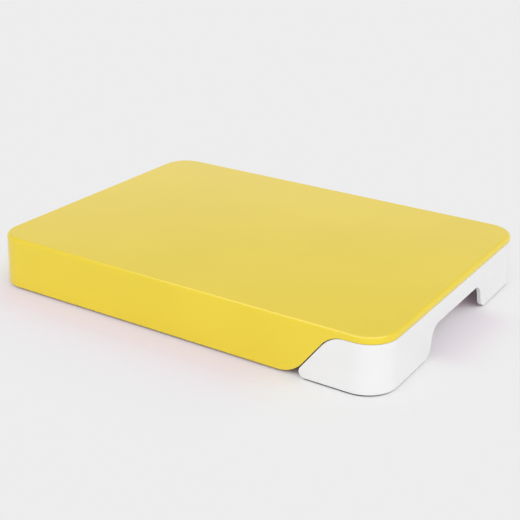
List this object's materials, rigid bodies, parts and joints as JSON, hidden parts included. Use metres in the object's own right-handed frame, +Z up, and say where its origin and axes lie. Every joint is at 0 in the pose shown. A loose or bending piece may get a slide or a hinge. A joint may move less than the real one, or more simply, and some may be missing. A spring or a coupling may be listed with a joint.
{
  "type": "cutting board with colander drawer",
  "caption": "Thick rounded cutting board with a skirt, and a colander drawer under it whose front wraps round the board's end and has a finger notch.",
  "frame": {"origin": "on the table, under the middle of the board", "axes": "+X the way the drawer opens, +Y to the far side, +Z up"},
  "size_m": [0.3421, 0.2482, 0.0424],
  "materials": {
    "board": "smooth glossy yellow polypropylene, lightly drawn flow marks, faint knife marks",
    "drawer": "smooth white polypropylene, soft gloss",
    "runner": "fine-grained milky plastic",
    "screws": "zinc-plated, fine turned marks",
    "feet": "matte dark grey rubber"
  },
  "bodies": {
    "board": {"board": "board", "near_runner": "runner", "far_runner": "runner", "runner_screws": "screws", "foot_front_near": "feet", "foot_front_far": "feet", "foot_back_near": "feet", "foot_back_far": "feet"},
    "drawer": {"colander_drawer": "drawer"}
  },
  "joints": [
    {"name": "drawer_slide", "type": "slide", "parent": "board", "child": "drawer", "axis": [1, 0, 0], "range_m": [0, 0.19]}
  ]
}
